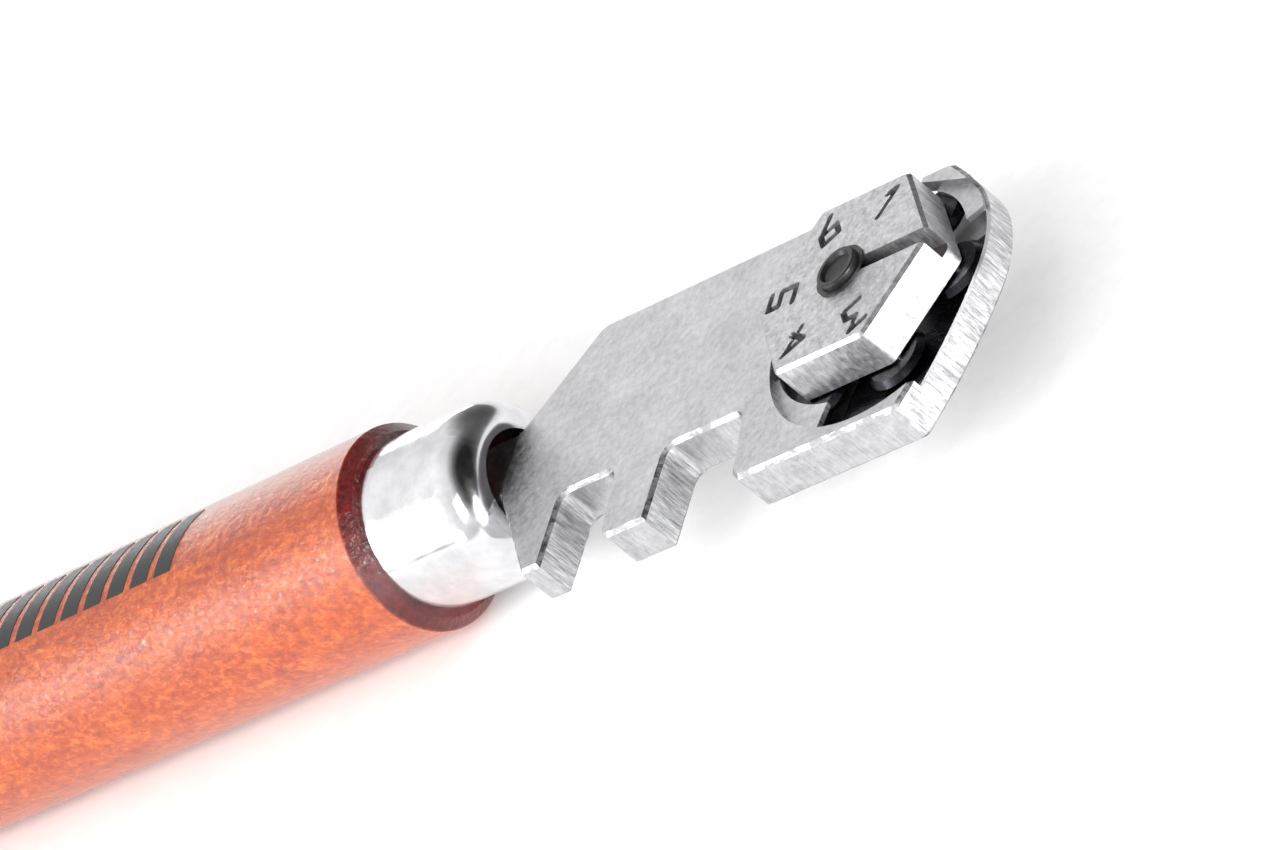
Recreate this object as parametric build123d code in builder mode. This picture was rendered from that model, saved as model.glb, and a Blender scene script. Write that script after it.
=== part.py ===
"""Six-wheel turret glass cutter: turned wooden handle, plated ferrule, flat
breaking head with two notches and a hexagonal turret that carries six wheels.

Frame: origin on the handle axis at the middle of the grip, X along the handle
towards the head tip, Y across the head (notches on the -Y edge), Z square to
the flat head with the turret on the +Z side. Millimetres.
"""
import os
from math import atan2, cos, degrees, radians, sin, tan

from build123d import *

# ---- handle ----
HANDLE_D = 13.5            # grip diameter
HANDLE_FRONT_X = 40.0      # end of the wood where the ferrule starts
HANDLE_BACK_X = -40.0      # butt end
BUTT_D = 10.6              # diameter where the butt rounding starts
TAPER_LEN = 24.0           # tapered stretch next to the butt
BUTT_ROUND = 4.4           # rounding of the butt
FRONT_CHAMFER = 0.7        # chamfer round the front end face
SPIGOT_LEN = 6.0           # turned-down end inside the ferrule

# ---- ferrule ----
FERRULE_D = 11.3
FERRULE_WALL = 0.5
FERRULE_LEN = 9.2
FERRULE_SHOULDER_R = 2.4   # front shoulder, rolled in to the mouth round the neck

# ---- head plate ----
PLATE_T = 3.0
FRONT_Z = PLATE_T / 2
BACK_Z = -PLATE_T / 2
TANG_T = 2.4               # the tang is thinner than the blade, so the back of the blade lies flat
TANG_STEP_X = 49.3         # just outside the ferrule mouth
TANG_END_X = 14.0
TANG_TIP_HALF = 2.2        # half width of the tang at its tip
NECK_HALF = 2.7            # half width of the neck in the ferrule mouth
NECK_END_X = 49.4
HEAD_START_X = 54.6        # where the head reaches full width
HEEL_X = 54.1              # lower rear corner of the head
TOP_Y = 8.95
LOW_Y = -10.2
SHOULDER_R = 1.3
HORN_R = 0.9
TOE_R = 0.8
TOE_X = 86.0               # sharp corner where the lower edge meets the end
EDGE_BREAK = 0.25          # small chamfer round the front and back outline
NOTCH_TOP_Y = -4.7
NOTCH_FILLET = 0.8
NOTCH_1 = (55.7, 60.4, 60.9)    # left wall, right wall at the root, right wall at the mouth
NOTCH_2 = (65.0, 71.5, 72.2)
MOUTH_CHAMFER = 0.7
OVERRUN = 1.0              # how far cuts run out past an edge

# ---- turret seat in the plate ----
TURRET_X = 80.1
TURRET_Y = 0.9
END_R = 9.05               # end of the head round the turret axis
END_ARC_LOW = -8.0         # polar limits of that arc, degrees
END_ARC_HIGH = 48.0
SEAT_R = 9.6               # milled mouth of the seat
SEAT_OFFSET = (2.3, -0.75)  # its centre from the turret axis
SEAT_FLOOR_Z = 0.6
HORN_INNER = (2.3, 7.43)   # inner edge of the horn left beside the seat, from the turret axis
HORN_OUTER = (8.0, 5.41)
HORN_SLOPE = 0.3           # fall of that edge's extension past the end
CLEAR = 14.0               # well outside the head, from the turret axis
LEDGE_R = 7.5              # lit ledges beside the turret, over the outer part of the wheels
LEDGE_TOP_Z = 0.95
LEDGE_REACH = 1.3          # keeps the sector's outer corner clear of the head
# each ledge: polar limits in degrees and outer radius; the outer part melts into the head
LEDGES = ((-152.0, -100.0, 10.0), (24.0, 64.0, END_R - EDGE_BREAK))
CHAMBER_R = 8.7            # chamber the wheels travel in, wider than its mouth
CHAMBER_FLOOR_Z = -0.7
CHAMBER_WALL = 0.35        # wall left at the end of the head

# ---- turret ----
HEX_R = 7.2                # centre to corner
TURRET_BACK_Z = 0.7
TURRET_FRONT_Z = 3.55
HEX_CHAMFER = 0.22
CORNER_R = 0.5
HUB_R = 2.6
HUB_BOTTOM_Z = -0.4
BORE_R = 1.15
DIGIT_H = 2.1
DIGIT_R = 4.95             # distance of each digit from the turret axis
DIGIT_DEPTH = 0.3
DIGIT_STROKE = 0.46
DIGIT_CENTRE = (0.3, 0.5)  # middle of a digit in the same units as its strokes
# strokes of each digit in units of its height; station 2 carries the index slot instead
DIGIT_STROKES = {
    1: [(0.05, 0.75), (0.3, 1), (0.3, 0)],
    3: [(0, 1), (0.6, 1), (0.25, 0.58), (0.6, 0.4), (0.6, 0), (0, 0)],
    4: [(0.45, 0), (0.45, 1), (0, 0.32), (0.65, 0.32)],
    5: [(0.6, 1), (0.05, 1), (0.05, 0.58), (0.6, 0.58), (0.6, 0), (0, 0)],
    6: [(0.5, 1), (0, 0.45), (0, 0), (0.6, 0), (0.6, 0.45), (0, 0.45)],
}
KEY_SLOT_W = 1.15          # index slot from the rivet to one corner
KEY_SLOT_DEPTH = 1.7

# ---- wheels and their pins ----
STATIONS = 6
FIRST_STATION = 60.0       # polar angle of station 1, degrees
WHEEL_ORBIT_R = 6.25
WHEEL_R = 2.15
WHEEL_BOTTOM_Z = -0.22
WHEEL_TOP_Z = 0.54
WHEEL_BEVEL = 0.37         # height of each side of the V ground on the rim
WHEEL_FLAT_R = 1.8         # flat side of the wheel
WHEEL_BORE_R = 0.53
PIN_R = 0.5
PIN_TOP_Z = 1.5
PIN_HEAD_R = 0.85
PIN_HEAD_BOTTOM_Z = -0.38
PIN_HEAD_TOP_Z = -0.28

# ---- rivet, washer and click spring ----
RIVET_R = 1.1
RIVET_HEAD_R = 1.5
RIVET_HEAD_T = 0.4
RIVET_DISH_R = 1.15
RIVET_DISH_DEPTH = 0.22
RIVET_DISH_TAPER = 35      # degrees
RIVET_HEAD_ROUND = 0.15
TAIL_R = 1.9               # riveted tail, flush in the back of the plate
TAIL_T = 0.5
WASHER_R = 1.8
WASHER_T = 0.15
SPRING_T = 0.25
SPRING_HUB_R = 3.0
SPRING_GAP = 0.35          # spring edge to the chamber wall
SPRING_START = -100.0      # polar limits of the spring blade, degrees
SPRING_END = 22.0

# ---- click dimples in the back of the turret ----
CLICK_DIMPLE_R = 0.5
CLICK_DIMPLE_ORBIT_R = 3.85
CLICK_DIMPLE_DEPTH = 0.12

os.makedirs("parts", exist_ok=True)


def at_turret(polar, radius):
    """Point in the head plane at a polar angle and distance from the turret axis."""
    return (TURRET_X + radius * cos(radians(polar)), TURRET_Y + radius * sin(radians(polar)))


def from_turret(dx, dy):
    """Point in the head plane given by its offset from the turret axis."""
    return (TURRET_X + dx, TURRET_Y + dy)


def station_angle(station):
    """Polar angle of a turret station; the stations run clockwise seen from the front."""
    return FIRST_STATION - (station - 1) * 360 / STATIONS


# ---- head plate: tang, neck, notched blade and turret seat ----
END_TOP = at_turret(END_ARC_HIGH, END_R)
END_MID = at_turret((END_ARC_HIGH + END_ARC_LOW) / 2, END_R)
END_LOW = at_turret(END_ARC_LOW, END_R)
END_LOW_DIRECTION = (sin(radians(END_ARC_LOW)), -cos(radians(END_ARC_LOW)))
HORN_TIP = (END_TOP[0] - (TOP_Y - END_TOP[1]) * tan(radians(END_ARC_HIGH)), TOP_Y)
TOE_TIP = (TOE_X, LOW_Y)

with BuildPart() as head_plate:
    with BuildSketch(Plane.XY.offset(BACK_Z)):
        with BuildLine():
            Polyline(
                END_TOP,
                HORN_TIP,
                (HEAD_START_X, TOP_Y),
                (NECK_END_X, NECK_HALF),
                (HANDLE_FRONT_X - SPIGOT_LEN, NECK_HALF),
                (TANG_END_X, TANG_TIP_HALF),
                (TANG_END_X, -TANG_TIP_HALF),
                (HANDLE_FRONT_X - SPIGOT_LEN, -NECK_HALF),
                (NECK_END_X, -NECK_HALF),
                (HEEL_X, LOW_Y),
                TOE_TIP,
            )
            TangentArc(END_LOW, TOE_TIP, tangent=END_LOW_DIRECTION)
            ThreePointArc(END_LOW, END_MID, END_TOP)
        make_face()
    extrude(amount=PLATE_T)

    # rounded corners of the blade: upper shoulder, horn and toe
    for corner, radius in (
        ((HEAD_START_X, TOP_Y, 0), SHOULDER_R),
        ((*HORN_TIP, 0), HORN_R),
        ((*TOE_TIP, 0), TOE_R),
    ):
        fillet(head_plate.edges().filter_by(Axis.Z).sort_by_distance(corner)[0], radius)

    # two breaking notches in the lower edge
    for left, root, mouth in (NOTCH_1, NOTCH_2):
        with BuildSketch(Plane.XY.offset(BACK_Z)):
            with BuildLine():
                Polyline(
                    (left, LOW_Y - OVERRUN),
                    (left, NOTCH_TOP_Y),
                    (root, NOTCH_TOP_Y),
                    (mouth, LOW_Y + MOUTH_CHAMFER),
                    (mouth + MOUTH_CHAMFER + OVERRUN, LOW_Y - OVERRUN),
                    close=True,
                )
            make_face()
        extrude(amount=PLATE_T, mode=Mode.SUBTRACT)
        for corner_x in (left, root):
            corner = head_plate.edges().filter_by(Axis.Z)
            fillet(corner.sort_by_distance((corner_x, NOTCH_TOP_Y, 0))[0], NOTCH_FILLET)

    # broken edges all round the outline, front and back
    chamfer(head_plate.faces().filter_by(Axis.Z).edges(), EDGE_BREAK)

    # tang thinned on both sides up to the ferrule mouth
    for face_z, inward in ((FRONT_Z, -1), (BACK_Z, 1)):
        with BuildSketch(Plane.XY.offset(face_z)):
            with Locations(((TANG_END_X + TANG_STEP_X) / 2, 0)):
                Rectangle(TANG_STEP_X - TANG_END_X, 2 * NECK_HALF)
        extrude(amount=inward * (PLATE_T - TANG_T) / 2, mode=Mode.SUBTRACT)

    # milled mouth of the seat, open at the end and along the top
    with BuildSketch(Plane.XY.offset(SEAT_FLOOR_Z)):
        with Locations(from_turret(*SEAT_OFFSET)):
            Circle(SEAT_R)
        with BuildLine(mode=Mode.PRIVATE) as horn_limit:
            Polyline(
                from_turret(*HORN_INNER),
                from_turret(*HORN_OUTER),
                from_turret(CLEAR, HORN_OUTER[1] - HORN_SLOPE * (CLEAR - HORN_OUTER[0])),
                from_turret(CLEAR, -CLEAR),
                from_turret(-CLEAR, -CLEAR),
                from_turret(-CLEAR, CLEAR),
                from_turret(HORN_INNER[0], CLEAR),
                close=True,
            )
        add(make_face(horn_limit.edges(), mode=Mode.PRIVATE), mode=Mode.INTERSECT)
    extrude(amount=PLATE_T, mode=Mode.SUBTRACT)

    # chamber below the mouth where the wheels travel
    with BuildSketch(Plane.XY.offset(CHAMBER_FLOOR_Z)):
        with Locations(from_turret(*SEAT_OFFSET)):
            Circle(SEAT_R - CHAMBER_WALL)
        with Locations(from_turret(0, -SEAT_R)):
            Rectangle(4 * SEAT_R, 2 * SEAT_R, mode=Mode.INTERSECT)
        with BuildLine(mode=Mode.PRIVATE) as end_limit:
            end_low = at_turret(END_ARC_LOW, END_R - CHAMBER_WALL)
            end_toe = (TOE_TIP[0] - CHAMBER_WALL, LOW_Y)
            TangentArc(end_low, end_toe, tangent=END_LOW_DIRECTION)
            Polyline(end_toe, from_turret(-CLEAR, -CLEAR), from_turret(-CLEAR, 0), (end_low[0], TURRET_Y), end_low)
        add(make_face(end_limit.edges(), mode=Mode.PRIVATE), mode=Mode.INTERSECT)
        with Locations((TURRET_X, TURRET_Y)):
            Circle(CHAMBER_R)
    extrude(amount=SEAT_FLOOR_Z - CHAMBER_FLOOR_Z, mode=Mode.SUBTRACT)

    # ledges left beside the turret, thin roofs over the wheels that pass under them
    for low, high, outer_r in LEDGES:
        with BuildSketch(Plane.XY.offset(SEAT_FLOOR_Z)):
            with BuildLine():
                Polyline(
                    (TURRET_X, TURRET_Y),
                    at_turret(low, CLEAR),
                    at_turret((low + high) / 2, CLEAR * LEDGE_REACH),
                    at_turret(high, CLEAR),
                    close=True,
                )
            make_face()
            with Locations((TURRET_X, TURRET_Y)):
                Circle(outer_r, mode=Mode.INTERSECT)
                Circle(LEDGE_R, mode=Mode.SUBTRACT)
        extrude(amount=LEDGE_TOP_Z - SEAT_FLOOR_Z)

    # bore for the rivet with a counterbore for its tail
    with BuildSketch(Plane.XY.offset(BACK_Z)):
        with Locations((TURRET_X, TURRET_Y)):
            Circle(RIVET_R)
    extrude(amount=PLATE_T, mode=Mode.SUBTRACT)
    with BuildSketch(Plane.XY.offset(BACK_Z)):
        with Locations((TURRET_X, TURRET_Y)):
            Circle(TAIL_R)
    extrude(amount=TAIL_T, mode=Mode.SUBTRACT)

head_plate.part.label = "head_plate"
export_step(head_plate.part, "parts/head_plate.step")

# ---- wooden handle ----
SPIGOT_D = FERRULE_D - 2 * FERRULE_WALL
with BuildPart() as handle:
    with BuildSketch(Plane.XZ):
        with BuildLine():
            Polyline(
                (HANDLE_BACK_X, 0),
                (HANDLE_FRONT_X, 0),
                (HANDLE_FRONT_X, HANDLE_D / 2 - FRONT_CHAMFER),
                (HANDLE_FRONT_X - FRONT_CHAMFER, HANDLE_D / 2),
                (HANDLE_BACK_X + TAPER_LEN, HANDLE_D / 2),
                (HANDLE_BACK_X, BUTT_D / 2),
                close=True,
            )
        make_face()
    revolve(axis=Axis.X)
    butt = handle.faces().sort_by(Axis.X)[0]
    fillet(butt.edges(), BUTT_ROUND)

    # groove in the front end that takes the rear skirt of the ferrule
    with BuildSketch(Plane.YZ.offset(HANDLE_FRONT_X - SPIGOT_LEN)):
        Circle(FERRULE_D / 2)
        Circle(SPIGOT_D / 2, mode=Mode.SUBTRACT)
    extrude(amount=SPIGOT_LEN, mode=Mode.SUBTRACT)

    # tapered slot for the tang
    with BuildSketch(Plane.XY.offset(BACK_Z)):
        with BuildLine():
            Polyline(
                (TANG_END_X, -TANG_TIP_HALF),
                (HANDLE_FRONT_X - SPIGOT_LEN, -NECK_HALF),
                (HANDLE_FRONT_X, -NECK_HALF),
                (HANDLE_FRONT_X, NECK_HALF),
                (HANDLE_FRONT_X - SPIGOT_LEN, NECK_HALF),
                (TANG_END_X, TANG_TIP_HALF),
                close=True,
            )
        make_face()
    extrude(amount=PLATE_T, mode=Mode.SUBTRACT)
handle.part.label = "handle"
export_step(handle.part, "parts/handle.step")

# ---- ferrule: a drawn tube with a rolled-in shoulder ----
FERRULE_BACK_X = HANDLE_FRONT_X - SPIGOT_LEN
FERRULE_MOUTH_X = HANDLE_FRONT_X + FERRULE_LEN
with BuildPart() as ferrule:
    with BuildSketch(Plane.XZ):
        with BuildLine():
            outer_tangent = (FERRULE_MOUTH_X - FERRULE_SHOULDER_R, FERRULE_D / 2)
            outer_mouth = (FERRULE_MOUTH_X, FERRULE_D / 2 - FERRULE_SHOULDER_R)
            inner_tangent = (outer_tangent[0], FERRULE_D / 2 - FERRULE_WALL)
            inner_mouth = (FERRULE_MOUTH_X - FERRULE_WALL, outer_mouth[1])
            Line((FERRULE_BACK_X, FERRULE_D / 2), outer_tangent)
            RadiusArc(outer_tangent, outer_mouth, FERRULE_SHOULDER_R)
            Line(outer_mouth, inner_mouth)
            RadiusArc(inner_mouth, inner_tangent, -(FERRULE_SHOULDER_R - FERRULE_WALL))
            Polyline(
                inner_tangent,
                (FERRULE_BACK_X, FERRULE_D / 2 - FERRULE_WALL),
                (FERRULE_BACK_X, FERRULE_D / 2),
            )
        make_face()
    revolve(axis=Axis.X)
ferrule.part.label = "ferrule"
export_step(ferrule.part, "parts/ferrule.step")

# ---- hexagonal turret body ----
with BuildPart() as turret_body:
    with BuildSketch(Plane.XY.offset(TURRET_BACK_Z)):
        with Locations((TURRET_X, TURRET_Y)):
            RegularPolygon(HEX_R, STATIONS)
    extrude(amount=TURRET_FRONT_Z - TURRET_BACK_Z)
    fillet(turret_body.edges().filter_by(Axis.Z), CORNER_R)
    front_face = turret_body.faces().sort_by(Axis.Z)[-1]
    chamfer(front_face.edges(), HEX_CHAMFER)

    # hub that stands on the click spring
    with BuildSketch(Plane.XY.offset(HUB_BOTTOM_Z)):
        with Locations((TURRET_X, TURRET_Y)):
            Circle(HUB_R)
    extrude(amount=TURRET_BACK_Z - HUB_BOTTOM_Z)

    with BuildSketch(Plane.XY.offset(HUB_BOTTOM_Z)):
        with Locations((TURRET_X, TURRET_Y)):
            Circle(BORE_R)
    extrude(amount=TURRET_FRONT_Z - HUB_BOTTOM_Z, mode=Mode.SUBTRACT)

    # blind holes for the wheel pins, opening on the back
    with BuildSketch(Plane.XY.offset(TURRET_BACK_Z)):
        with Locations((TURRET_X, TURRET_Y)):
            with PolarLocations(WHEEL_ORBIT_R, STATIONS):
                Circle(PIN_R)
    extrude(amount=PIN_TOP_Z - TURRET_BACK_Z, mode=Mode.SUBTRACT)

    # click dimples in the back of the hub flange, one for each station
    with BuildSketch(Plane.XY.offset(TURRET_BACK_Z)):
        with Locations((TURRET_X, TURRET_Y)):
            with PolarLocations(CLICK_DIMPLE_ORBIT_R, STATIONS, start_angle=180 / STATIONS):
                Circle(CLICK_DIMPLE_R)
    extrude(amount=CLICK_DIMPLE_DEPTH, mode=Mode.SUBTRACT)

    # index slot from the rivet out to the first corner
    with BuildSketch(Plane.XY.offset(TURRET_FRONT_Z - KEY_SLOT_DEPTH)):
        with Locations((TURRET_X + HEX_R / 2 + OVERRUN, TURRET_Y)):
            Rectangle(HEX_R + 2 * OVERRUN, KEY_SLOT_W)
        with Locations((TURRET_X, TURRET_Y)):
            Circle(BORE_R, mode=Mode.SUBTRACT)
        with Locations((TURRET_X - HEX_R, TURRET_Y)):
            Rectangle(2 * HEX_R, KEY_SLOT_W, mode=Mode.SUBTRACT)
    extrude(amount=KEY_SLOT_DEPTH, mode=Mode.SUBTRACT)

    # station digits cut near the other corners, tops outward
    for station, strokes in DIGIT_STROKES.items():
        polar = station_angle(station)
        outward = (cos(radians(polar)), sin(radians(polar)))
        digit_plane = Plane(
            origin=(*at_turret(polar, DIGIT_R), TURRET_FRONT_Z - DIGIT_DEPTH),
            x_dir=(outward[1], -outward[0], 0),
            z_dir=(0, 0, 1),
        )
        with BuildSketch(digit_plane):
            for start, end in zip(strokes, strokes[1:]):
                run = Vector(*end, 0) - Vector(*start, 0)
                middle = (Vector(*start, 0) + Vector(*end, 0)) / 2 - Vector(*DIGIT_CENTRE, 0)
                with Locations(Location(middle * DIGIT_H, (0, 0, degrees(atan2(run.Y, run.X))))):
                    SlotCenterToCenter(run.length * DIGIT_H, DIGIT_STROKE)
        extrude(amount=2 * DIGIT_DEPTH, mode=Mode.SUBTRACT)
turret_body.part.label = "turret_body"
export_step(turret_body.part, "parts/turret_body.step")

# ---- cutting wheels and their headed pins, one pair at each corner ----
for station in range(1, STATIONS + 1):
    axle = at_turret(station_angle(station), WHEEL_ORBIT_R)

    with BuildPart() as cutting_wheel:
        with BuildSketch(Plane.XY.offset(WHEEL_BOTTOM_Z)):
            with Locations(axle):
                Circle(WHEEL_R)
        extrude(amount=WHEEL_TOP_Z - WHEEL_BOTTOM_Z)
        rim = cutting_wheel.faces().filter_by(Axis.Z).edges()
        chamfer(rim, WHEEL_BEVEL, WHEEL_R - WHEEL_FLAT_R)
        with BuildSketch(Plane.XY.offset(WHEEL_BOTTOM_Z)):
            with Locations(axle):
                Circle(WHEEL_BORE_R)
        extrude(amount=WHEEL_TOP_Z - WHEEL_BOTTOM_Z, mode=Mode.SUBTRACT)
    wheel_name = f"cutting_wheel_{station}"
    cutting_wheel.part.label = wheel_name
    export_step(cutting_wheel.part, f"parts/{wheel_name}.step")

    with BuildPart() as wheel_pin:
        with BuildSketch(Plane.XY.offset(PIN_HEAD_BOTTOM_Z)):
            with Locations(axle):
                Circle(PIN_HEAD_R)
        extrude(amount=PIN_HEAD_TOP_Z - PIN_HEAD_BOTTOM_Z)
        with BuildSketch(Plane.XY.offset(PIN_HEAD_TOP_Z)):
            with Locations(axle):
                Circle(PIN_R)
        extrude(amount=PIN_TOP_Z - PIN_HEAD_TOP_Z)
    pin_name = f"wheel_pin_{station}"
    wheel_pin.part.label = pin_name
    export_step(wheel_pin.part, f"parts/{pin_name}.step")

# ---- click spring: hub ring with a blade that lines the open side of the chamber ----
with BuildPart() as click_spring:
    with BuildSketch(Plane.XY.offset(CHAMBER_FLOOR_Z)):
        with Locations((TURRET_X, TURRET_Y)):
            Circle(CHAMBER_R - SPRING_GAP)
        with BuildLine(mode=Mode.PRIVATE) as sector:
            Polyline(
                (TURRET_X, TURRET_Y),
                at_turret(SPRING_START, 2 * CHAMBER_R),
                at_turret((SPRING_START + SPRING_END) / 2, 3 * CHAMBER_R),
                at_turret(SPRING_END, 2 * CHAMBER_R),
                close=True,
            )
        add(make_face(sector.edges(), mode=Mode.PRIVATE), mode=Mode.INTERSECT)
        with Locations((TURRET_X, TURRET_Y)):
            Circle(SPRING_HUB_R)
            Circle(RIVET_R, mode=Mode.SUBTRACT)
    extrude(amount=SPRING_T)
click_spring.part.label = "click_spring"
export_step(click_spring.part, "parts/click_spring.step")

# ---- spring washer under the rivet head ----
with BuildPart() as friction_washer:
    with BuildSketch(Plane.XY.offset(TURRET_FRONT_Z)):
        with Locations((TURRET_X, TURRET_Y)):
            Circle(WASHER_R)
            Circle(RIVET_R, mode=Mode.SUBTRACT)
    extrude(amount=WASHER_T)
friction_washer.part.label = "friction_washer"
export_step(friction_washer.part, "parts/friction_washer.step")

# ---- turret rivet: dished head, plain shank, tail set flush in the back ----
HEAD_BASE_Z = TURRET_FRONT_Z + WASHER_T
with BuildPart() as turret_rivet:
    with BuildSketch(Plane.XY.offset(BACK_Z)):
        with Locations((TURRET_X, TURRET_Y)):
            Circle(TAIL_R)
    extrude(amount=TAIL_T)
    with BuildSketch(Plane.XY.offset(BACK_Z + TAIL_T)):
        with Locations((TURRET_X, TURRET_Y)):
            Circle(RIVET_R)
    extrude(amount=HEAD_BASE_Z - BACK_Z - TAIL_T)
    with BuildSketch(Plane.XY.offset(HEAD_BASE_Z)):
        with Locations((TURRET_X, TURRET_Y)):
            Circle(RIVET_HEAD_R)
    extrude(amount=RIVET_HEAD_T)
    fillet(turret_rivet.faces().sort_by(Axis.Z)[-1].edges(), RIVET_HEAD_ROUND)
    with BuildSketch(Plane.XY.offset(HEAD_BASE_Z + RIVET_HEAD_T)):
        with Locations((TURRET_X, TURRET_Y)):
            Circle(RIVET_DISH_R)
    extrude(amount=-RIVET_DISH_DEPTH, taper=RIVET_DISH_TAPER, mode=Mode.SUBTRACT)
turret_rivet.part.label = "turret_rivet"
export_step(turret_rivet.part, "parts/turret_rivet.step")
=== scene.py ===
"""Looks of the six-wheel turret glass cutter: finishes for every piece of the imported
frame, a printed band of slanted bars on the handle, and a plain studio round it.

Everything is in metres in the frame of the part: X along the handle towards the
head, Y across the head with the notches on its negative side, Z up on the turret side.
"""
from math import cos, pi, radians, sin
from typing import NamedTuple

import bmesh
import bpy
from bpy.props import FloatProperty, FloatVectorProperty, IntProperty, PointerProperty
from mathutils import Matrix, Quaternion, Vector


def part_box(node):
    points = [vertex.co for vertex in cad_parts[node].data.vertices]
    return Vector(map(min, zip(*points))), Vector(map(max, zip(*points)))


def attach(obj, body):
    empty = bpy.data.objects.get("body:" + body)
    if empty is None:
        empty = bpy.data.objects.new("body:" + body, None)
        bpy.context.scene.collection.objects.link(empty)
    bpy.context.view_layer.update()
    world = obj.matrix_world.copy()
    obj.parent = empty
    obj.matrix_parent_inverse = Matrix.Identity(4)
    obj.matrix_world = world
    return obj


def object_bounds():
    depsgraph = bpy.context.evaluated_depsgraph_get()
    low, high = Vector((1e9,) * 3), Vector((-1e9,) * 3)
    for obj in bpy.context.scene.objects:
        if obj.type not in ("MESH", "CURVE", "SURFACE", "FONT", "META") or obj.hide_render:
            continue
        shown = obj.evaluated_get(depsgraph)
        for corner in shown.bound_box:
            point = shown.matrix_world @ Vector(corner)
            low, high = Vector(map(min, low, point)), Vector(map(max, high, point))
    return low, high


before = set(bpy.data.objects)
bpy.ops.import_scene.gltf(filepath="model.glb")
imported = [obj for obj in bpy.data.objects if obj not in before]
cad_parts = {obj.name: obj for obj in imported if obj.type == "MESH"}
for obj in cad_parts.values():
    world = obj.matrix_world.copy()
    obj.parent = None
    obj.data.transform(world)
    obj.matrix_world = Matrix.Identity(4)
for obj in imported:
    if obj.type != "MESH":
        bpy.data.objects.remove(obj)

bl_info = {
    "name": "Glass Cutter Finishes",
    "version": (1, 0, 0),
    "blender": (4, 5, 0),
    "location": "View3D > Sidebar > Glass Cutter",
    "description": "Finishes and studio for a six-wheel turret glass cutter",
    "category": "Object",
}

MM = 0.001
CAD_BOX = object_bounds()
HANDLE_LOW, HANDLE_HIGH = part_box("handle")
HANDLE_R = (HANDLE_HIGH.y - HANDLE_LOW.y) / 2
HANDLE_END_X = HANDLE_HIGH.x
TURRET_TOP_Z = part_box("turret_body")[1].z
WHEELS = [f"cutting_wheel_{n}" for n in range(1, 7)]
PINS = [f"wheel_pin_{n}" for n in range(1, 7)]


# ---- colours and nodes ----
def linear(hex_colour):
    """Linear RGBA of an sRGB hex colour."""
    channels = [int(hex_colour[i:i + 2], 16) / 255 for i in (1, 3, 5)]
    curve = [c / 12.92 if c <= 0.04045 else ((c + 0.055) / 1.055) ** 2.4 for c in channels]
    return (*curve, 1.0)


def shade(value):
    """Linear RGBA of a hex colour, of a grey level or of a linear RGB colour."""
    if isinstance(value, str):
        return linear(value)
    if isinstance(value, float):
        return (value, value, value, 1.0)
    return (*value, 1.0)


def per_mm(size):
    """Texture scale that makes one pattern cell the given number of millimetres."""
    return 1.0 / (size * MM)


def set_up(tree, node, settings):
    """Sets up a node. Each setting is a property, or a socket by its name or number.
    A value that is a socket is linked, and so is the first live output of a value that
    is a node. "stops" holds the places of a ramp, each with its colour or grey level."""
    for name, value in settings.items():
        if name == "stops":
            band = node.color_ramp.elements
            while len(band) < len(value):
                band.new(0.5)
            for stop, (place, colour) in zip(band, value.items()):
                stop.position = place
                stop.color = shade(colour)
        elif isinstance(value, bpy.types.Node):
            live = next(output for output in value.outputs if output.enabled)
            tree.links.new(live, node.inputs[name])
        elif isinstance(value, bpy.types.NodeSocket):
            tree.links.new(value, node.inputs[name])
        elif isinstance(name, int) or name in node.inputs:
            node.inputs[name].default_value = linear(value) if isinstance(value, str) else value
        else:
            setattr(node, name, value)


def add_node(tree, kind, settings):
    """Adds a shader node of a kind, with its settings and links."""
    node = tree.nodes.new("ShaderNode" + kind)
    set_up(tree, node, settings)
    return node


class Finish:
    """A new material, with its shader and the place and normal on its object."""

    def __init__(self, name):
        self.material = bpy.data.materials.new(name)
        self.material.use_nodes = True
        self.tree = self.material.node_tree
        self.shader = self.tree.nodes["Principled BSDF"]
        coordinates = self.add("TexCoord", {})
        self.place = coordinates.outputs["Object"]
        self.normal = coordinates.outputs["Normal"]

    def add(self, kind, settings):
        return add_node(self.tree, kind, settings)

    def complete(self, settings):
        """Sets up the shader and returns the material."""
        set_up(self.tree, self.shader, settings)
        return self.material


def dress(nodes, material):
    """Gives CAD nodes one material in every slot."""
    for name in nodes:
        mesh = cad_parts[name].data
        if not mesh.materials:
            mesh.materials.append(material)
        for index in range(len(mesh.materials)):
            mesh.materials[index] = material


# ---- finishes ----
# End grain shows from the first of these distances behind the handle's front face,
# and alone from the second.
END_GRAIN_FROM = 0.8 * MM
END_GRAIN_FULL = 0.6 * MM

# Depths below the turret's top where the painted shade starts and is full in the stamped
# digits, and where the brown painted shade and reflection in the deeper index slot does.
RECESS_SHADE_FROM, RECESS_SHADE_FULL = 0.23 * MM, 0.27 * MM
SLOT_SHADE_FROM, SLOT_SHADE_FULL = 0.4 * MM, 1.0 * MM


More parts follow.
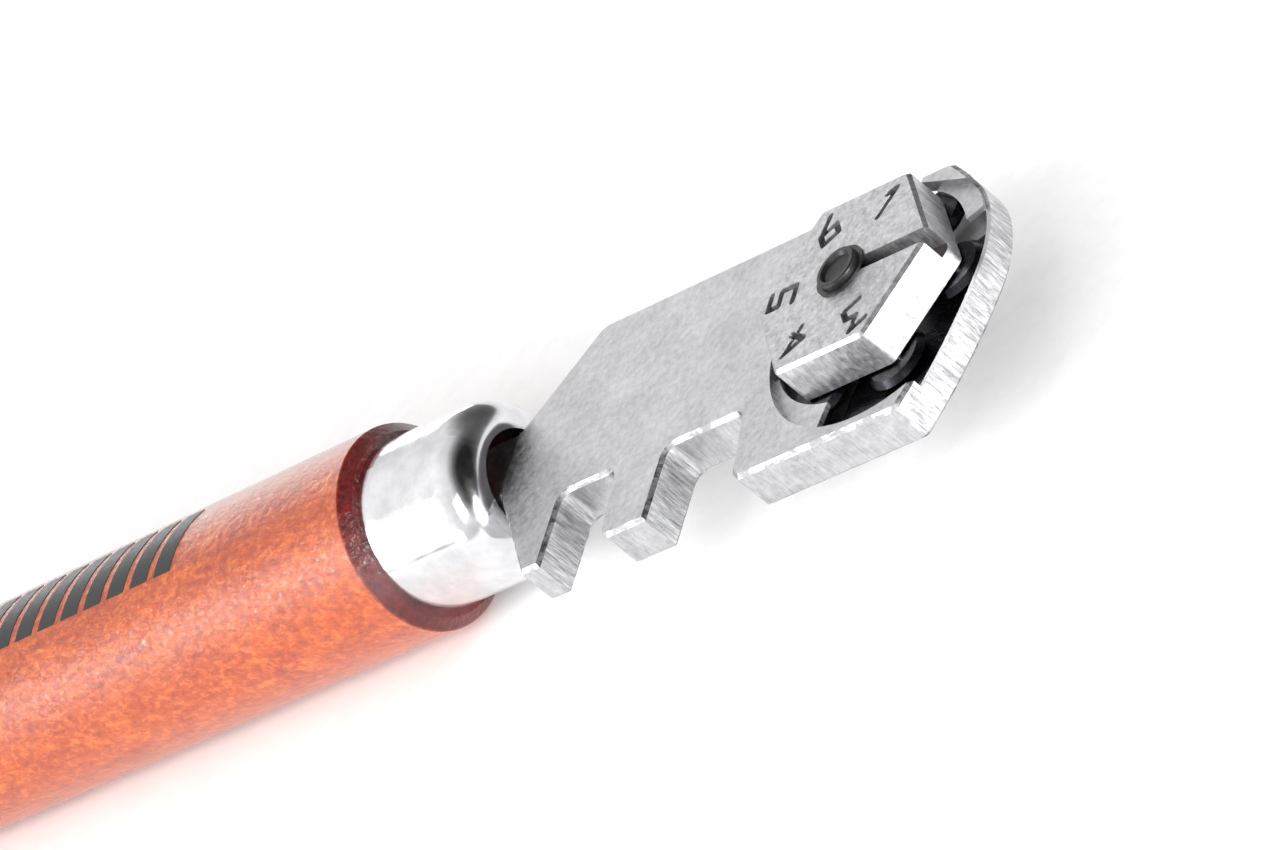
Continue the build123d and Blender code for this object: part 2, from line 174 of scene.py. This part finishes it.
def lacquered_wood(look):
    """Turned hardwood under thick tinted lacquer: orange with a curly figure and short
    dark pores, a glossy slightly uneven coat that breaks up the lights, and end grain
    that soaked up stain and is dark red. The pores are drawn coarser than real ones, so
    that they show."""
    f = Finish("lacquered_wood")
    figure_place = f.add("Mapping", {
        "vector_type": "TEXTURE", "Scale": (2.2, 1, 1), "Vector": f.place})
    figure = f.add("TexNoise", {
        "Scale": per_mm(2.6), "Detail": 5, "Roughness": 0.62, "Distortion": 1.4,
        "Vector": figure_place})
    curl_place = f.add("Mapping", {
        "vector_type": "TEXTURE", "Scale": (1.4, 1, 1), "Vector": f.place})
    curl = f.add("TexNoise", {
        "Scale": per_mm(0.5), "Detail": 6, "Roughness": 0.7, "Distortion": 0.35,
        "Vector": curl_place})
    pore_place = f.add("Mapping", {
        "vector_type": "TEXTURE", "Scale": (3.0, 1, 1), "Vector": f.place})
    pores = f.add("TexNoise", {
        "Scale": per_mm(0.3), "Detail": 2, "Roughness": 0.6, "Vector": pore_place})
    body = f.add("ValToRGB", {
        "Fac": figure, "stops": {0.30: look.wood_dark, 0.52: look.wood_mid, 0.72: "#c65a10"}})
    flecks = f.add("ValToRGB", {
        "Fac": curl, "stops": {0.37: "#701c02", 0.52: "#b04406", 0.68: "#e28438"}})
    flecked = f.add("Mix", {"data_type": "RGBA", 0: 0.5, 6: body, 7: flecks})
    pore_shade = f.add("ValToRGB", {"Fac": pores, "stops": {0.30: 0.62, 0.46: 1.0}})
    porous = f.add("Mix", {
        "data_type": "RGBA", "blend_type": "MULTIPLY", 0: 0.45, 6: flecked, 7: pore_shade})

    along = f.add("SeparateXYZ", {0: f.place}).outputs["X"]
    end_grain = f.add("MapRange", {
        "clamp": True, "From Min": HANDLE_END_X - END_GRAIN_FROM,
        "From Max": HANDLE_END_X - END_GRAIN_FULL, "Value": along})
    end_colour = f.add("ValToRGB", {
        "Fac": curl, "stops": {0.3: "#2c0306", 0.6: "#5e0d0c", 0.8: "#7e1c10"}})
    colour = f.add("Mix", {"data_type": "RGBA", 0: end_grain, 6: porous, 7: end_colour})

    roughness = f.add("ValToRGB", {"Fac": curl, "stops": {0.3: 0.30, 0.7: 0.46}})
    peel_place = f.add("Mapping", {
        "vector_type": "TEXTURE", "Scale": (1.2, 1, 1), "Vector": f.place})
    peel = f.add("TexNoise", {
        "Scale": per_mm(0.45), "Detail": 5, "Roughness": 0.65, "Distortion": 0.5,
        "Vector": peel_place})
    uneven_coat = f.add("Bump", {"Distance": 0.13 * MM, "Strength": 1.0, "Height": peel})
    grain = f.add("Bump", {"Distance": 0.03 * MM, "Strength": 0.5, "Height": pores})
    return f.complete({
        "Base Color": colour, "Roughness": roughness, "Normal": grain, "IOR": 1.5,
        "Specular IOR Level": 0.1, "Coat Weight": 1.0, "Coat Roughness": 0.12,
        "Coat IOR": 1.52, "Coat Normal": uneven_coat})


def printed_ink():
    """Pad-printed enamel ink: near-black with a green cast, thin enough for the lacquer's
    unevenness to show, and slightly worn."""
    f = Finish("printed_ink")
    wear = f.add("TexNoise", {
        "Scale": per_mm(0.35), "Detail": 4, "Roughness": 0.65, "Vector": f.place})
    colour = f.add("ValToRGB", {
        "Fac": wear, "stops": {0.3: "#0c1211", 0.6: "#182120", 0.8: "#2c3635"}})
    roughness = f.add("ValToRGB", {"Fac": wear, "stops": {0.3: 0.40, 0.7: 0.60}})
    film = f.add("TexNoise", {
        "Scale": per_mm(0.42), "Detail": 4, "Roughness": 0.6, "Vector": f.place})
    relief = f.add("Bump", {"Distance": 0.02 * MM, "Strength": 0.6, "Height": film})
    return f.complete({
        "Base Color": colour, "Roughness": roughness, "Normal": relief, "IOR": 1.45,
        "Coat Weight": 0.2, "Coat Roughness": 0.3})


def plated_ferrule():
    """Spun steel ferrule, polished and nickel plated: mirror-like with a faint haze,
    fine rings left by the spinning and a little fogging. The rings are drawn coarser
    than real ones."""
    f = Finish("polished_nickel_ferrule")
    haze = f.add("TexNoise", {
        "Scale": per_mm(1.6), "Detail": 4, "Roughness": 0.6, "Vector": f.place})
    ring_place = f.add("Mapping", {
        "vector_type": "TEXTURE", "Scale": (1, 14, 14), "Vector": f.place})
    rings = f.add("TexNoise", {
        "Scale": per_mm(0.22), "Detail": 2, "Roughness": 0.5, "Vector": ring_place})
    colour = f.add("ValToRGB", {"Fac": haze, "stops": {0.35: "#d2d2d4", 0.65: "#e6e6e8"}})
    roughness = f.add("ValToRGB", {"Fac": haze, "stops": {0.35: 0.10, 0.70: 0.19}})
    relief = f.add("Bump", {"Distance": 0.004 * MM, "Strength": 0.35, "Height": rings})
    return f.complete({
        "Base Color": colour, "Roughness": roughness, "Normal": relief, "Metallic": 1.0})


def plated_head():
    """Stamped steel head, tumbled and satin nickel plated: pale grey with a fine mottle,
    scratches from tumbling, coarse cutting marks across the sheared edges, and bevels
    darkened in patches, partly as chips and partly as painted shade that breaks the bevels'
    highlight into dashes. The mottle and the scratches are drawn coarser than real ones."""
    f = Finish("satin_nickel_head")
    mottle = f.add("TexNoise", {
        "Scale": per_mm(0.5), "Detail": 6, "Roughness": 0.7, "Vector": f.place})
    cloud = f.add("TexNoise", {
        "Scale": per_mm(2.8), "Detail": 4, "Roughness": 0.6, "Vector": f.place})
    scratch_place = f.add("Mapping", {
        "vector_type": "TEXTURE", "Scale": (7, 1, 1), "Vector": f.place})
    scratches = f.add("TexNoise", {
        "Scale": per_mm(0.16), "Detail": 3, "Roughness": 0.7, "Vector": scratch_place})
    mottled = f.add("ValToRGB", {
        "Fac": mottle, "stops": {0.32: "#9c9c9e", 0.55: "#c4c4c6", 0.75: "#dcdcde"}})
    clouded = f.add("ValToRGB", {"Fac": cloud, "stops": {0.35: "#a8a8aa", 0.65: "#d4d4d6"}})
    face_colour = f.add("Mix", {"data_type": "RGBA", 0: 0.35, 6: mottled, 7: clouded})

    facing = f.add("SeparateXYZ", {0: f.normal}).outputs
    upright = f.add("Math", {"operation": "ABSOLUTE", 0: facing["Z"]})
    edge = f.add("MapRange", {
        "clamp": True, "From Min": 0.3, "From Max": 0.6, "To Min": 1.0, "To Max": 0.0,
        "Value": upright})
    toward_end = f.add("MapRange", {
        "clamp": True, "From Min": 0.2, "From Max": 0.6, "To Min": 0.25, "To Max": 0.80,
        "Value": facing["X"]})
    cut_depth = f.add("Math", {"operation": "MULTIPLY", 0: edge, 1: toward_end})
    hatch_place = f.add("Mapping", {
        "vector_type": "TEXTURE", "Scale": (1, 1, 9), "Vector": f.place})
    hatch = f.add("TexNoise", {
        "Scale": per_mm(0.17), "Detail": 4, "Roughness": 0.75, "Vector": hatch_place})
    hatch_colour = f.add("ValToRGB", {
        "Fac": hatch, "stops": {0.34: "#77777a", 0.5: "#bdbdbf", 0.66: "#f0f0f1"}})
    cut_colour = f.add("Mix", {
        "data_type": "RGBA", 0: cut_depth, 6: face_colour, 7: hatch_colour})

    above_edge = f.add("MapRange", {
        "clamp": True, "From Min": 0.45, "From Max": 0.6, "Value": upright})
    on_face = f.add("MapRange", {
        "clamp": True, "From Min": 0.8, "From Max": 0.95, "Value": upright})
    bevel = f.add("Math", {"operation": "SUBTRACT", 0: above_edge, 1: on_face})
    # painted shade on the bevels: dark patches break their highlight into dashes and also stand
    # for small chips
    bevel_gap_cover = f.add("Math", {"operation": "MULTIPLY", 0: bevel, 1: 0.8})
    bevel_gap_place = f.add("Mapping", {
        "vector_type": "TEXTURE", "Scale": (1.8, 1, 1), "Vector": f.place})
    bevel_gap_noise = f.add("TexNoise", {
        "Scale": per_mm(0.7), "Detail": 4, "Roughness": 0.7, "Vector": bevel_gap_place})
    chips_and_bevel_gaps = f.add("ValToRGB", {"Fac": bevel_gap_noise, "stops": {0.44: 0.22, 0.54: 1.0}})
    colour = f.add("Mix", {
        "data_type": "RGBA", "blend_type": "MULTIPLY", 0: bevel_gap_cover, 6: cut_colour, 7: chips_and_bevel_gaps})

    roughness = f.add("ValToRGB", {"Fac": mottle, "stops": {0.3: 0.33, 0.7: 0.52}})
    dimpled = f.add("Bump", {"Distance": 0.03 * MM, "Strength": 0.65, "Height": mottle})
    scratched = f.add("Bump", {
        "Distance": 0.012 * MM, "Strength": 0.4, "Height": scratches, "Normal": dimpled})
    cut_height = f.add("Math", {"operation": "MULTIPLY", 0: hatch, 1: cut_depth})
    relief = f.add("Bump", {
        "Distance": 0.09 * MM, "Strength": 0.8, "Height": cut_height, "Normal": scratched})
    return f.complete({
        "Base Color": colour, "Roughness": roughness, "Normal": relief, "Metallic": 1.0})


def plated_turret():
    """Milled steel turret, tumbled and nickel plated: a little brighter and finer than the
    head, with painted shade on the sunken faces of the stamped digits and a brown painted
    shade and reflection in the index slot."""
    f = Finish("satin_nickel_turret")
    mottle = f.add("TexNoise", {
        "Scale": per_mm(0.42), "Detail": 6, "Roughness": 0.7, "Vector": f.place})
    mottled = f.add("ValToRGB", {
        "Fac": mottle, "stops": {0.32: "#98989a", 0.55: "#c2c2c4", 0.75: "#dededf"}})

    height = f.add("SeparateXYZ", {0: f.place}).outputs["Z"]
    upward = f.add("SeparateXYZ", {0: f.normal}).outputs["Z"]
    facing_up = f.add("MapRange", {
        "clamp": True, "From Min": 0.4, "From Max": 0.8, "Value": upward})
    # painted shade: upward faces sunk below the turret's top are darkened, grey in the stamped
    # digits and brown in the deeper index slot
    sunk = f.add("MapRange", {
        "clamp": True, "From Min": TURRET_TOP_Z - RECESS_SHADE_FULL,
        "From Max": TURRET_TOP_Z - RECESS_SHADE_FROM, "To Min": 1.0, "To Max": 0.0, "Value": height})
    recess_shade = f.add("Math", {"operation": "MULTIPLY", 0: facing_up, 1: sunk})
    deep = f.add("MapRange", {
        "clamp": True, "From Min": TURRET_TOP_Z - SLOT_SHADE_FULL,
        "From Max": TURRET_TOP_Z - SLOT_SHADE_FROM, "To Min": 1.0, "To Max": 0.0,
        "Value": height})
    # painted shade colours: grey for the digits, brown painted shade and reflection for the
    # index slot
    recess_shade_colour = f.add("Mix", {"data_type": "RGBA", 0: deep, 6: "#38383b", 7: "#3a2a28"})
    recess_shade_cover = f.add("Math", {"operation": "MULTIPLY", 0: recess_shade, 1: 0.85})
    recess_shaded = f.add("Mix", {"data_type": "RGBA", 0: recess_shade_cover, 6: mottled, 7: recess_shade_colour})

    upright = f.add("Math", {"operation": "ABSOLUTE", 0: upward})
    side = f.add("MapRange", {
        "clamp": True, "From Min": 0.3, "From Max": 0.6, "To Min": 1.0, "To Max": 0.0,
        "Value": upright})
    hatch_place = f.add("Mapping", {
        "vector_type": "TEXTURE", "Scale": (1, 1, 4), "Vector": f.place})
    hatch = f.add("TexNoise", {
        "Scale": per_mm(0.3), "Detail": 4, "Roughness": 0.7, "Vector": hatch_place})
    hatch_colour = f.add("ValToRGB", {
        "Fac": hatch, "stops": {0.34: "#909093", 0.66: "#efeff0"}})
    hatch_cover = f.add("Math", {"operation": "MULTIPLY", 0: side, 1: 0.5})
    colour = f.add("Mix", {"data_type": "RGBA", 0: hatch_cover, 6: recess_shaded, 7: hatch_colour})

    satin = f.add("ValToRGB", {"Fac": mottle, "stops": {0.3: 0.30, 0.7: 0.46}})
    dull_recess_shade = f.add("Math", {"operation": "MULTIPLY_ADD", 0: recess_shade, 1: 0.3, 2: satin})
    roughness = f.add("Math", {"operation": "MULTIPLY_ADD", 0: side, 1: 0.12, 2: dull_recess_shade})
    dimpled = f.add("Bump", {"Distance": 0.025 * MM, "Strength": 0.55, "Height": mottle})
    relief = f.add("Bump", {
        "Distance": 0.03 * MM, "Strength": 0.4, "Height": hatch, "Normal": dimpled})
    return f.complete({
        "Base Color": colour, "Roughness": roughness, "Normal": relief, "Metallic": 1.0})


def black_oxide():
    """Steel rivet and washer blackened in a hot salt bath: almost black with an oily
    satin sheen and slightly browner, duller patches."""
    f = Finish("black_oxide_steel")
    patches = f.add("TexNoise", {
        "Scale": per_mm(0.6), "Detail": 4, "Roughness": 0.6, "Vector": f.place})
    colour = f.add("ValToRGB", {"Fac": patches, "stops": {0.35: "#060607", 0.7: "#161617"}})
    roughness = f.add("ValToRGB", {"Fac": patches, "stops": {0.3: 0.34, 0.7: 0.55}})
    relief = f.add("Bump", {"Distance": 0.02 * MM, "Strength": 0.4, "Height": patches})
    return f.complete({
        "Base Color": colour, "Roughness": roughness, "Normal": relief, "IOR": 1.5})


def spring_dark_as_shade():
    """Spring steel strip in near-black grey-blue, as painted shade for the shaded pocket it
    lies in, with rolled lines and a hard satin sheen.
    """
    f = Finish("spring_dark_as_shade_steel")
    patches = f.add("TexNoise", {
        "Scale": per_mm(0.9), "Detail": 4, "Roughness": 0.6, "Vector": f.place})
    rolled_place = f.add("Mapping", {
        "vector_type": "TEXTURE", "Scale": (10, 1, 1), "Vector": f.place})
    rolled = f.add("TexNoise", {
        "Scale": per_mm(0.1), "Detail": 2, "Roughness": 0.5, "Vector": rolled_place})
    # painted shade: the strip is near-black so that the pocket it lies in reads as shaded
    colour = f.add("ValToRGB", {"Fac": patches, "stops": {0.35: "#111114", 0.7: "#2b2b30"}})
    roughness = f.add("ValToRGB", {"Fac": rolled, "stops": {0.3: 0.22, 0.7: 0.38}})
    relief = f.add("Bump", {"Distance": 0.008 * MM, "Strength": 0.4, "Height": rolled})
    return f.complete({
        "Base Color": colour, "Roughness": roughness, "Normal": relief, "Metallic": 0.7})


def ground_wheel_steel():
    """Hardened tool steel, ground round its rim: near-black, partly the steel's own dark colour
    and partly painted shade for the shaded pocket the wheels sit in, with fine lines and small
    glints."""
    f = Finish("ground_wheel_steel")
    lines = f.add("TexNoise", {
        "Scale": per_mm(0.12), "Detail": 3, "Roughness": 0.6, "Vector": f.place})
    tint = f.add("TexNoise", {
        "Scale": per_mm(0.8), "Detail": 3, "Roughness": 0.5, "Vector": f.place})
    # near-black: partly the steel's own colour, partly painted shade for the pocket round the
    # wheels
    colour = f.add("ValToRGB", {"Fac": tint, "stops": {0.35: "#1c1c1f", 0.7: "#3c3c42"}})
    roughness = f.add("ValToRGB", {"Fac": lines, "stops": {0.3: 0.24, 0.7: 0.40}})
    relief = f.add("Bump", {"Distance": 0.01 * MM, "Strength": 0.4, "Height": lines})
    return f.complete({
        "Base Color": colour, "Roughness": roughness, "Normal": relief, "Metallic": 1.0})


def bright_pin_steel():
    """Drawn bright steel pin: light grey with lengthwise drawing lines."""
    f = Finish("bright_pin_steel")
    line_place = f.add("Mapping", {
        "vector_type": "TEXTURE", "Scale": (1, 1, 12), "Vector": f.place})
    lines = f.add("TexNoise", {
        "Scale": per_mm(0.08), "Detail": 3, "Roughness": 0.6, "Vector": line_place})
    colour = f.add("ValToRGB", {"Fac": lines, "stops": {0.3: "#a7a7aa", 0.7: "#cfcfd2"}})
    roughness = f.add("ValToRGB", {"Fac": lines, "stops": {0.3: 0.2, 0.7: 0.36}})
    relief = f.add("Bump", {"Distance": 0.006 * MM, "Strength": 0.4, "Height": lines})
    return f.complete({
        "Base Color": colour, "Roughness": roughness, "Normal": relief, "Metallic": 1.0})


def matt_paper():
    """Matt white background paper, faintly lit from below: even and without gloss."""
    f = Finish("matt_paper")
    tooth = f.add("TexNoise", {
        "Scale": per_mm(1.2), "Detail": 3, "Roughness": 0.5, "Vector": f.place})
    colour = f.add("ValToRGB", {"Fac": tooth, "stops": {0.3: "#f4f4f4", 0.7: "#fafafa"}})
    return f.complete({
        "Base Color": colour, "Roughness": 0.95, "IOR": 1.3,
        "Emission Color": "#ffffff", "Emission Strength": 0.06})


# ---- settings ----
class GlassCutterLook(bpy.types.PropertyGroup):
    """Sizes and colours of the finishes."""

    wood_mid: FloatVectorProperty(
        name="Wood", description="Main colour of the lacquered wood",
        default=linear("#b24905")[:3], subtype="COLOR", size=3, min=0, max=1)
    wood_dark: FloatVectorProperty(
        name="Wood Figure", description="Darker bands of the figure",
        default=linear("#8f2903")[:3], subtype="COLOR", size=3, min=0, max=1)
    bar_count: IntProperty(
        name="Bars", description="Printed bars on the handle", default=12, min=1)
    bar_width: FloatProperty(
        name="Bar Width", description="Width of a printed bar along the handle",
        default=1.65 * MM, unit="LENGTH")
    bar_pitch: FloatProperty(
        name="Bar Pitch", description="Distance from one bar to the next",
        default=2.35 * MM, unit="LENGTH")
    bar_start: FloatProperty(
        name="First Bar", description="Front edge of the bar nearest the ferrule",
        default=24.2 * MM, unit="LENGTH")
    bar_slant: FloatProperty(
        name="Bar Slant", description="How far a bar leans along the handle over its length",
        default=1.1 * MM, unit="LENGTH")
    bar_low: FloatProperty(
        name="Print Upper Edge",
        description="Angle round the handle where the bars start, from +Y",
        default=radians(66), unit="ROTATION")
    bar_high: FloatProperty(
        name="Print Lower Edge",
        description="Angle round the handle where the bars end, from +Y",
        default=radians(107), unit="ROTATION")
    ink_thickness: FloatProperty(
        name="Ink Thickness", description="How far the ink stands off the lacquer",
        default=0.03 * MM, unit="LENGTH")


class GlassCutterStudio(bpy.types.PropertyGroup):
    """Camera, lights and floor."""

    lens: FloatProperty(
        name="Lens", description="Focal length of the camera",
        default=202.84, unit="CAMERA")
    roll: FloatProperty(
        name="Roll", description="Turn of the camera about its own axis",
        default=radians(-51.236), unit="ROTATION")
    shift: FloatProperty(
        name="Shift", description="Vertical shift of the camera", default=-0.0011)
    floor_size: FloatProperty(
        name="Floor Size", description="Side of the square floor",
        default=5.0, unit="LENGTH")
    ambient: FloatProperty(
        name="Ambient", description="Brightness of the surrounding white room",
        default=1.25, min=0)


# ---- pieces ----
BAR_STEPS = 14
INK_SUNK = 0.5  # how deep the ink also reaches into the lacquer, in ink thicknesses


def bar_across(bm, x, look):
    """One printed bar: a short line spun part way round the handle while it slides along."""
    radius = HANDLE_R - INK_SUNK * look.ink_thickness
    y = radius * cos(look.bar_low)
    z = radius * sin(look.bar_low)
    ends = [bm.verts.new((x, y, z)), bm.verts.new((x - look.bar_width, y, z))]
    line = bm.edges.new(ends)
    bmesh.ops.spin(
        bm, geom=[*ends, line], cent=(0, 0, 0), axis=(1, 0, 0),
        dvec=(-look.bar_slant / BAR_STEPS, 0, 0), angle=look.bar_high - look.bar_low,
        steps=BAR_STEPS, use_merge=False, use_duplicate=False)


class GLASSCUTTER_OT_handle(bpy.types.Operator):
    """Lacquer the wooden handle"""

    bl_idname = "glasscutter.handle"
    bl_label = "Handle"

    def execute(self, context):
        dress(["handle"], lacquered_wood(context.scene.glass_cutter_look))
        return {"FINISHED"}


class GLASSCUTTER_OT_print(bpy.types.Operator):
    """Print the band of slanted bars on the handle"""

    bl_idname = "glasscutter.print"
    bl_label = "Printed Bars"

    def execute(self, context):
        look = context.scene.glass_cutter_look
        bm = bmesh.new()
        for index in range(look.bar_count):
            bar_across(bm, look.bar_start - index * look.bar_pitch, look)
        bmesh.ops.recalc_face_normals(bm, faces=bm.faces)
        bm.faces.ensure_lookup_table()
        outward = bm.faces[0].calc_center_median()
        outward.x = 0
        if bm.faces[0].normal.dot(outward) < 0:
            bmesh.ops.reverse_faces(bm, faces=bm.faces)
        film = (1 + INK_SUNK) * look.ink_thickness
        bmesh.ops.solidify(bm, geom=bm.faces[:], thickness=-film)
        bmesh.ops.recalc_face_normals(bm, faces=bm.faces)
        mesh = bpy.data.meshes.new("handle_print")
        bm.to_mesh(mesh)
        bm.free()
        mesh.materials.append(printed_ink())
        piece = bpy.data.objects.new("handle_print", mesh)
        context.scene.collection.objects.link(piece)
        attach(piece, "holder")
        return {"FINISHED"}


class GLASSCUTTER_OT_ferrule(bpy.types.Operator):
    """Polish and plate the ferrule"""

    bl_idname = "glasscutter.ferrule"
    bl_label = "Ferrule"

    def execute(self, context):
        dress(["ferrule"], plated_ferrule())
        return {"FINISHED"}


class GLASSCUTTER_OT_head(bpy.types.Operator):
    """Plate the breaking head"""

    bl_idname = "glasscutter.head"
    bl_label = "Breaking Head"

    def execute(self, context):
        dress(["head_plate"], plated_head())
        return {"FINISHED"}


class GLASSCUTTER_OT_turret(bpy.types.Operator):
    """Plate the turret"""

    bl_idname = "glasscutter.turret"
    bl_label = "Turret"

    def execute(self, context):
        dress(["turret_body"], plated_turret())
        return {"FINISHED"}


class GLASSCUTTER_OT_rivet(bpy.types.Operator):
    """Blacken the rivet and its washer, and give the click spring its near-black painted shade
    """

    bl_idname = "glasscutter.rivet"
    bl_label = "Rivet, Washer and Spring"

    def execute(self, context):
        dress(["turret_rivet", "friction_washer"], black_oxide())
        dress(["click_spring"], spring_dark_as_shade())
        return {"FINISHED"}


class GLASSCUTTER_OT_wheels(bpy.types.Operator):
    """Finish the six cutting wheels and their pins"""

    bl_idname = "glasscutter.wheels"
    bl_label = "Wheels and Pins"

    def execute(self, context):
        dress(WHEELS, ground_wheel_steel())
        dress(PINS, bright_pin_steel())
        return {"FINISHED"}


# ---- studio ----
CAMERA_PLACE = Vector((0.35025, -0.25432, 0.19079))
CAMERA_AIM = Vector((-0.674721, 0.590669, -0.442563))
SENSOR_WIDTH = 36  # millimetres
CLIP_START = 0.01
FLOOR_GAP = 0.02 * MM
LAMPS_AIM_AT = Vector((0.06, 0.0, 0.0))


class Softbox(NamedTuple):
    """Rectangular lamp: the direction it stands in, its distance, its sides in metres,
    and its radiance."""

    name: str
    direction: tuple
    distance: float
    sides: tuple
    radiance: float


SOFTBOXES = (
    Softbox("key_box", (-0.69, -0.54, 0.48), 0.6, (0.20, 0.24), 13.0),
    Softbox("front_box", (0.40, -0.72, 0.56), 0.6, (0.26, 0.26), 3.0),
    Softbox("rim_box", (-0.68, 0.72, 0.12), 0.6, (0.40, 0.12), 3.0),
    Softbox("side_box", (0.93, -0.36, 0.08), 0.2, (0.075, 0.028), 90.0),
    Softbox("low_box", (-0.45, -0.87, 0.16), 0.6, (0.40, 0.12), 3.5),
)


def put_up(scene, box):
    """Adds one softbox that faces the head and stays out of the camera's sight."""
    data = bpy.data.lights.new(box.name, "AREA")
    data.shape = "RECTANGLE"
    data.size, data.size_y = box.sides
    data.energy = box.radiance * pi * data.size * data.size_y
    lamp = bpy.data.objects.new(box.name, data)
    scene.collection.objects.link(lamp)
    away = Vector(box.direction).normalized()
    lamp.location = LAMPS_AIM_AT + away * box.distance
    lamp.rotation_mode = "QUATERNION"
    lamp.rotation_quaternion = away.to_track_quat("Z", "Y")
    lamp.visible_camera = False


def white_room(scene, ambient):
    """Pale surroundings, dimmer towards the floor, with two soft dark patches where the
    unlit sides of the room are. The camera itself sees plain white."""
    world = bpy.data.worlds.new("white_room")
    scene.world = world
    world.use_nodes = True
    t = world.node_tree
    direction = add_node(t, "TexCoord", {}).outputs["Generated"]
    toward_dark = add_node(t, "VectorMath", {
        "operation": "DOT_PRODUCT", 0: direction, 1: Vector((0.86, 0.10, 0.50)).normalized()})
    dark_patch = add_node(t, "ValToRGB", {
        "Fac": toward_dark, "stops": {0.0: 1.0, 0.62: 0.80, 0.84: 0.16, 0.93: 0.02}})
    toward_far = add_node(t, "VectorMath", {
        "operation": "DOT_PRODUCT", 0: direction, 1: Vector((0.20, 0.95, 0.20)).normalized()})
    far_patch = add_node(t, "ValToRGB", {
        "Fac": toward_far, "stops": {0.0: 1.0, 0.70: 0.85, 0.90: 0.22, 1.0: 0.12}})
    patches = add_node(t, "Mix", {
        "data_type": "RGBA", "blend_type": "MULTIPLY", 0: 1.0, 6: dark_patch, 7: far_patch})
    height = add_node(t, "SeparateXYZ", {0: direction}).outputs["Z"]
    dome = add_node(t, "ValToRGB", {
        "Fac": height, "stops": {0.0: 0.62, 0.35: 0.85, 0.9: 1.0}})
    room = add_node(t, "Mix", {
        "data_type": "RGBA", "blend_type": "MULTIPLY", 0: 1.0, 6: patches, 7: dome})
    seen = add_node(t, "LightPath", {}).outputs["Is Camera Ray"]
    colour = add_node(t, "Mix", {"data_type": "RGBA", 0: seen, 6: room, 7: "#ffffff"})
    set_up(t, t.nodes["Background"], {"Color": colour, "Strength": ambient})


class GLASSCUTTER_OT_studio(bpy.types.Operator):
    """Set up the floor, the lights and the camera"""

    bl_idname = "glasscutter.studio"
    bl_label = "Studio"

    def execute(self, context):
        scene = context.scene
        studio = scene.glass_cutter_studio
        scene.view_settings.view_transform = "Standard"

        bm = bmesh.new()
        bmesh.ops.create_grid(bm, x_segments=1, y_segments=1, size=studio.floor_size / 2)
        bmesh.ops.translate(bm, verts=bm.verts, vec=(0, 0, CAD_BOX[0].z - FLOOR_GAP))
        mesh = bpy.data.meshes.new("paper_floor")
        bm.to_mesh(mesh)
        bm.free()
        mesh.materials.append(matt_paper())
        floor = bpy.data.objects.new("paper_floor", mesh)
        scene.collection.objects.link(floor)

        white_room(scene, studio.ambient)
        for box in SOFTBOXES:
            put_up(scene, box)

        data = bpy.data.cameras.new("studio_camera")
        data.lens = studio.lens
        data.sensor_width = SENSOR_WIDTH
        data.clip_start = CLIP_START
        data.shift_y = studio.shift
        camera = bpy.data.objects.new("studio_camera", data)
        scene.collection.objects.link(camera)
        level = CAMERA_AIM.to_track_quat("-Z", "Y")
        camera.location = CAMERA_PLACE
        camera.rotation_mode = "QUATERNION"
        camera.rotation_quaternion = level @ Quaternion((0, 0, 1), studio.roll)
        scene.camera = camera
        return {"FINISHED"}


STEPS = (
    GLASSCUTTER_OT_handle,
    GLASSCUTTER_OT_print,
    GLASSCUTTER_OT_ferrule,
    GLASSCUTTER_OT_head,
    GLASSCUTTER_OT_turret,
    GLASSCUTTER_OT_rivet,
    GLASSCUTTER_OT_wheels,
    GLASSCUTTER_OT_studio,
)


class GLASSCUTTER_PT_panel(bpy.types.Panel):
    """Lists the steps and their settings"""

    bl_idname = "GLASSCUTTER_PT_panel"
    bl_label = "Glass Cutter"
    bl_space_type = "VIEW_3D"
    bl_region_type = "UI"
    bl_category = "Glass Cutter"

    def draw(self, context):
        for group in (context.scene.glass_cutter_look, context.scene.glass_cutter_studio):
            column = self.layout.column(align=True)
            for name in type(group).__annotations__:
                column.prop(group, name)
        for step in STEPS:
            self.layout.operator(step.bl_idname)


CLASSES = (GlassCutterLook, GlassCutterStudio, *STEPS, GLASSCUTTER_PT_panel)


def register():
    for cls in CLASSES:
        bpy.utils.register_class(cls)
    bpy.types.Scene.glass_cutter_look = PointerProperty(type=GlassCutterLook)
    bpy.types.Scene.glass_cutter_studio = PointerProperty(type=GlassCutterStudio)


def unregister():
    del bpy.types.Scene.glass_cutter_studio
    del bpy.types.Scene.glass_cutter_look
    for cls in reversed(CLASSES):
        bpy.utils.unregister_class(cls)


def main():
    register()
    for step in STEPS:
        group, name = step.bl_idname.split(".")
        getattr(getattr(bpy.ops, group), name)()


if __name__ == "__main__":
    main()
